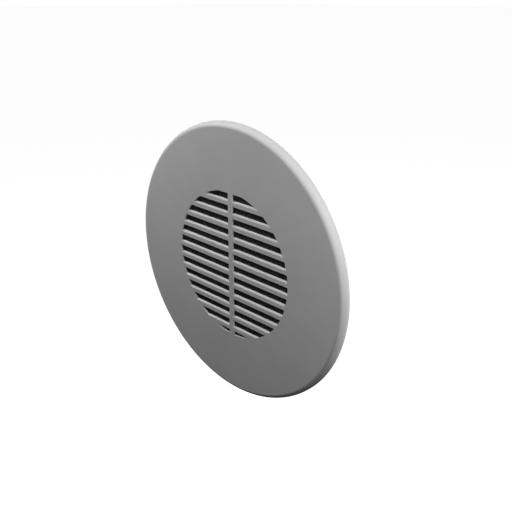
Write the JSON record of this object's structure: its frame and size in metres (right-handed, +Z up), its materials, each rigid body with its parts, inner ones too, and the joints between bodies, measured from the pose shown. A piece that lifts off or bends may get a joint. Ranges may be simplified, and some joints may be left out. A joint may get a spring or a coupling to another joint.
{
  "type": "ceiling air diffuser",
  "caption": "Round ceiling air diffuser: flat face with a slatted louvre, hollow back, a collar with a duct spigot, and a damper disc on a spindle.",
  "frame": {"origin": "centre of the plane that lies on the ceiling: the back of the rim and of the collar's flange, on the duct's axis", "axes": "+Y along the duct's axis into the ceiling, +Z up across the face and square to the slats, +X along the slats; on a ceiling -Y points down into the room"},
  "size_m": [0.2, 0.05, 0.2],
  "materials": {
    "front_plastic": "satin white moulding with a very fine texture",
    "collar_plastic": "pale grey moulding",
    "disc_plastic": "off-white moulding",
    "black_plastic": "black glass-filled nylon",
    "knob_plastic": "dark grey moulding",
    "bush_plastic": "natural acetal",
    "filter_foam": "black open-cell foam",
    "gasket_foam": "dark grey closed-cell foam",
    "seal_rubber": "black rubber",
    "spring_steel": "bright spring steel",
    "rivet_metal": "plain aluminium",
    "zinc_steel": "zinc-plated steel",
    "nut_brass": "turned brass"
  },
  "bodies": {
    "collar": {"collar": "collar_plastic", "ceiling_gasket": "gasket_foam", "duct_seal": "seal_rubber", "damper_bridge": "black_plastic", "bridge_screws": "zinc_steel", "hub_bush": "bush_plastic", "guide_pins": "zinc_steel"},
    "front": {"face_plate": "front_plastic", "leaf_spring_1": "spring_steel", "leaf_spring_2": "spring_steel", "leaf_spring_3": "spring_steel", "spring_rivets": "rivet_metal", "filter_mat": "filter_foam", "filter_ring": "black_plastic"},
    "spindle": {"spindle": "zinc_steel", "adjusting_knob": "knob_plastic", "knob_pin": "spring_steel", "thrust_washer": "bush_plastic", "disc_spring": "spring_steel", "spindle_circlip": "spring_steel", "end_stop_clip": "spring_steel"},
    "damper": {"damper_disc": "disc_plastic", "drive_nut": "nut_brass", "guide_bushes": "bush_plastic", "disc_seal": "gasket_foam"}
  },
  "joints": [
    {"name": "front_pull", "type": "slide", "parent": "collar", "child": "front", "axis": [0, -1, 0], "range_m": [0, 0.06]},
    {"name": "spindle_turn", "type": "hinge", "parent": "collar", "child": "spindle", "pos_m": [0, 0.012, 0], "axis": [0, -1, 0], "range_deg": [0, 720]},
    {"name": "damper_travel", "type": "slide", "parent": "collar", "child": "damper", "axis": [0, 1, 0], "range_m": [0, 0.014]}
  ],
  "couplings": [
    {"joint": "damper_travel", "follows": "spindle_turn", "m_per_rad": 0.001114}
  ]
}
